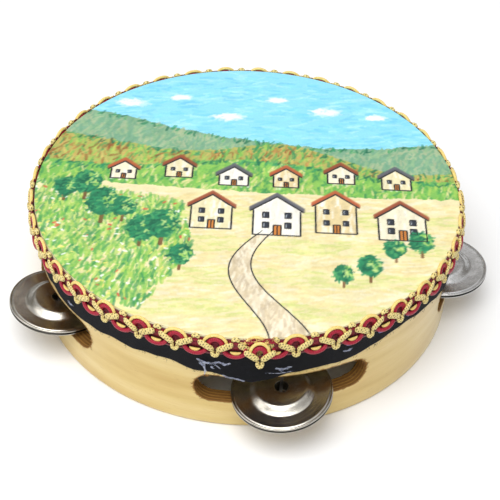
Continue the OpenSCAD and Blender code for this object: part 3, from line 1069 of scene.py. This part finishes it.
def make_glue():
    build = Build()

    def strand(az, path, wide, deep):
        line, run = resample(path, 0.5)
        line[1:-1] += rng.normal(0, 0.05, line[1:-1].shape)
        size = 1 + 0.25 * np.sin(run * 2.3 + rng.uniform(0, 6))
        sweep(build, rim_path(az, line), wide, deep, 8, taper=size)

    for az, wide, deep, path in (
        (-98.0, 0.5, 0.25, [(-4.5, 42.4, 102), (-1, 41.2, 102.3), (2, 41, 102.2), (5.5, 42, 102)]),
        (-98.0, 0.28, 0.22, [(-3.4, 39.2, 101.6), (-1.4, 40.4, 101.9), (1.4, 40.6, 102), (4.2, 39.6, 101.7),
                             (6, 37.4, 101.5)]),
        (-97.4, 0.5, 0.35, [(-1.8, 41, 101.8), (-2.2, 38, 101.8), (-1.6, 35.4, 101.8), (-1.9, 33, 101.7)]),
        (-93.6, 0.6, 0.3, [(-3, 44, 103.6), (0, 42.8, 103.9), (2.6, 43.4, 103.6)]),
        (-92.0, 0.35, 0.3, [(-4, 34.3, 101.9), (-1, 33.2, 102.1), (3, 32.6, 102.2), (6, 31.2, 102)]),
        (-79.0, 0.6, 0.32, [(-4.4, 38.6, 101.6), (-1, 38, 101.9), (3, 38.8, 101.8)]),
        (-80.5, 0.18, 0.15, [(-6, 36.2, 101.7), (0, 35.6, 101.9), (6.4, 36, 101.7)]),
        (-139.0, 0.5, 0.35, [(-2.4, 39.4, 101.5), (0, 39, 101.7), (2.4, 39.2, 101.5)]),
        (-63.0, 0.5, 0.35, [(-2.2, 41.6, 101.5), (0, 41.2, 101.7), (2.4, 41.7, 101.5)]),
    ):
        strand(az, path, wide, deep)
    for az, x, z, reach in ((-98.5, -1.5, 39.5, 2.6), (-97.0, 0.6, 38.2, 2.0), (-79.4, -1.0, 37.2, 2.2)):
        for _ in range(9):
            t = np.linspace(0, 1, 6)
            head = rng.uniform(0, 2 * math.pi)
            along = x + reach * (t - 0.5) * math.cos(head) + 0.5 * np.sin(4 * t + head)
            wisp = columns(along, z + reach * (t - 0.5) * math.sin(head), 101.7 + 0.2 * np.sin(t * math.pi))
            strand(az, wisp, rng.uniform(0.12, 0.3), 0.12)
    obj = build.object("dried_glue", GLUE)
    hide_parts("glue_spots")


# ---- jingles and pins
def disc_profile():
    """The stamped sheet's outline from the hole out over the top and back below, its rim at z = 0."""
    zones = ((HOLE_R, CROWN_R - 1.4, 6), (CROWN_R - 0.9, STEP_R + 0.6, 18),
             (STEP_R + 1.2, DISC_R - 2 * LIP_R, 8))
    r = np.concatenate([np.linspace(*zone) for zone in zones])
    s = np.clip((r - CROWN_R + 0.5) / (STEP_R - CROWN_R + 0.6), 0, 1)
    low = LIP_R - 0.25 + SHEET / 2 + 0.3 * np.clip((r - STEP_R) / 6, 0, 1) ** 2
    flank = (low - SHEET / 2 - RISE) * s * s * (3 - 2 * s)
    mid = (RISE + SHEET / 2) + flank - 0.05 * np.clip((CROWN_R - r) / 8, 0, 1)
    top = list(zip(r, mid + SHEET / 2))
    under = list(zip(r, mid - SHEET / 2))[::-1]
    curl = arc(DISC_R - LIP_R, LIP_R + 0.05, LIP_R, 150, -150, 15)
    hole = arc(HOLE_R, float(mid[0]), SHEET / 2, 250, 110, 5)
    return top + curl + under + hole


def rest_height(k):
    """Where a leaning pair's middle lies when its lower disc touches the floor of the slot."""
    out, ccw = (math.radians(abs(v)) for v in LEAN[k])
    crown_edge, wall = DISC_R / 2 + 0.2, HOOP_R - HOOP_IN
    level = SLOT_Z - SLOT_R + RISE + SHEET + RIM_GAP / 2
    return level + crown_edge * math.sin(ccw) + wall * math.sin(out) + 0.1


def turned(degrees, axis):
    return Matrix.Rotation(math.radians(degrees), 4, axis)


def make_jingles():
    profile = disc_profile()
    steps = 128
    for k, az in enumerate(PIN_AZ):
        out, ccw = LEAN[k]
        slid, swung = SLIP[k]
        for side, level in ((-1, "lower"), (1, "upper")):
            local = lathe(profile, steps)
            a = np.radians(np.linspace(0, 360, steps, endpoint=False))
            far = np.hypot(local[..., 0], local[..., 1]) / DISC_R
            local[..., 2] += 0.06 * far**2 * np.sin(2 * a + 1.3 * k + side) + 0.025 * far * np.sin(5 * a + k)
            move = (turned(az, "Z") @ Matrix.Translation((PIN_RING + slid, swung, rest_height(k)))
                    @ turned(out, "Y") @ turned(ccw, "X")
                    @ Matrix.Translation((0, 0, side * RIM_GAP / 2)) @ turned(0 if side > 0 else 180, "X"))
            m = np.array(move)
            world = local @ m[:3, :3].T + m[:3, 3]
            build = Build()
            build.sheet(world, local, ring=True)
            body = f"{level}_jingle_{k + 1}"
            # Pairs 1 and 2 use the brown-tinted steel, a painted reflection of the wood.
            obj = build.object(f"{body}_disc", WOOD_TINTED_STEEL if k < 2 else STEEL, body, attribute="disc")
            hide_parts(body)


def make_pins():
    for k, az in enumerate(PIN_AZ):
        lo, hi = (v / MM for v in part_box(f"jingle_pin_{k + 1}"))
        a = math.radians(az)
        z = np.linspace(lo.z, hi.z, 40)
        path = polar(PIN_RING, a, z)
        path[:, :2] += 0.02 * np.sin(z[:, None] * (0.3, 0.4) + k)
        build = Build()
        sweep(build, path, PIN_R, PIN_R, 14, ends=(0.75, 0.95), outward=polar(1, a, 0 * z))
        obj = build.object(f"pin_{k + 1}", WIRE)
        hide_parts(f"jingle_pin_{k + 1}")


# ---- studio
def make_studio():
    scene = bpy.context.scene
    scene.view_settings.view_transform = "Standard"
    world = bpy.data.worlds.new("studio")
    scene.world = world
    world.use_nodes = True
    nodes, links = world.node_tree.nodes, world.node_tree.links
    height = nodes.new("ShaderNodeSeparateXYZ")
    links.new(nodes.new("ShaderNodeTexCoord").outputs["Generated"], height.inputs[0])
    ramp = nodes.new("ShaderNodeValToRGB")
    links.new(height.outputs["Z"], ramp.inputs["Fac"])
    bright, dark, grey = (0.95, 0.97, 1.0, 1), (0.2, 0.18, 0.15, 1), (0.85, 0.85, 0.86, 1)
    stops = ((0.0, bright), (0.17, bright), (0.27, dark), (0.5, dark), (0.6, grey), (0.76, grey),
             (0.84, bright))
    set_ramp(ramp, stops)
    links.new(ramp.outputs["Color"], nodes["Background"].inputs["Color"])
    nodes["Background"].inputs["Strength"].default_value = 0.75
    mesh = bpy.data.meshes.new("floor")
    half = 3.0
    corners = [(-half, -half, 0), (half, -half, 0), (half, half, 0), (-half, half, 0)]
    mesh.from_pydata(corners, [], [(0, 1, 2, 3)])
    f = Finish("floor")
    pale = f.ramp(f.noise(3.0), (0.3, (0.94, 0.94, 0.94, 1)), (0.7, (0.96, 0.96, 0.96, 1)))
    f.set(Base_Color=pale, Roughness=0.9)
    mesh.materials.append(f.mat)
    floor = put_in_scene("floor", mesh)
    for name, place, aim, size, power in (
        ("overhead", (-0.15, -0.45, 1.15), (0, 0, 0), 0.9, 7.5),
        ("left_fill", (-1.1, -0.3, 0.7), (0, 0, 0.03), 0.7, 2.2),
    ):
        data = bpy.data.lights.new(name, "AREA")
        data.shape, data.size, data.energy = "DISK", size, power
        lamp = put_in_scene(name, data)
        lamp.location = place
        lamp.rotation_euler = (Vector(aim) - Vector(place)).to_track_quat("-Z", "Y").to_euler()
    data = bpy.data.lights.new("even", "SUN")
    data.energy, data.angle = 0.75, math.radians(60)
    even = put_in_scene("even", data)
    even.rotation_euler = (math.radians(18), math.radians(-12), 0)


for make in (make_studio, make_hoop, make_fibres, make_skin, make_picture, make_ink, make_band, make_frays,
             make_braid, make_lap, make_petals, make_glue, make_jingles, make_pins):
    make()
